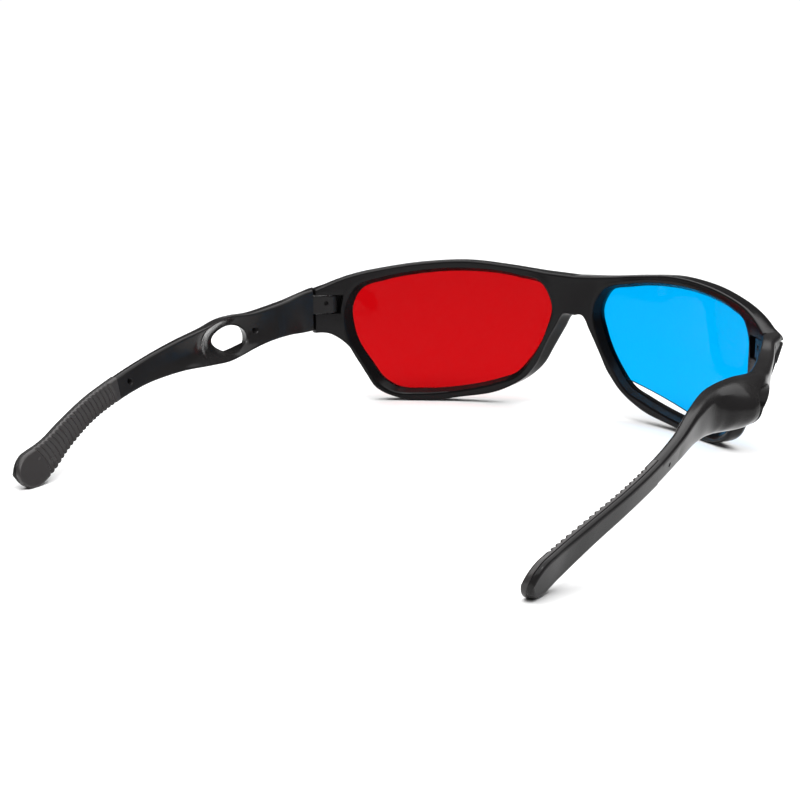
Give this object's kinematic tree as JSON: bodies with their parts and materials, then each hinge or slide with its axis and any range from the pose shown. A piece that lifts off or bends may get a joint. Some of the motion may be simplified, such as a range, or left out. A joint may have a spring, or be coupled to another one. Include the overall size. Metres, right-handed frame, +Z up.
{
  "type": "folding stereo glasses",
  "caption": "Wrapped glasses for red and cyan stereo pictures, with two tinted lenses in a black frame and folding temples with an oval window and ribbed tips",
  "frame": {"origin": "on the floor under the middle of the bounding box, half way between the foremost line of the front and the temple tips", "axes": "+X is the wearer's right and lies across the mirror plane of the frame, +Y points forward out of the front, +Z is up"},
  "size_m": [0.159, 0.15, 0.0417],
  "materials": {
    "frame": "moulded plastic, satin to glossy",
    "red_lens": "clear tinted sheet",
    "cyan_lens": "clear tinted sheet",
    "grip": "moulded with fine ribs",
    "pin": "drawn wire"
  },
  "bodies": {
    "front": {"front_frame": "frame", "lens_red": "red_lens", "lens_cyan": "cyan_lens", "left_hinge_pin": "pin", "right_hinge_pin": "pin"},
    "left_temple": {"left_temple_arm": "frame", "left_temple_grip": "grip"},
    "right_temple": {"right_temple_arm": "frame", "right_temple_grip": "grip"}
  },
  "joints": [
    {"name": "right_temple_hinge", "type": "hinge", "parent": "front", "child": "right_temple", "pos_m": [0.06548, 0.043, 0.029], "axis": [0, 0, -1], "range_deg": [0, 92]},
    {"name": "left_temple_hinge", "type": "hinge", "parent": "front", "child": "left_temple", "pos_m": [-0.06548, 0.043, 0.029], "axis": [0, 0, 1], "range_deg": [0, 85]}
  ]
}
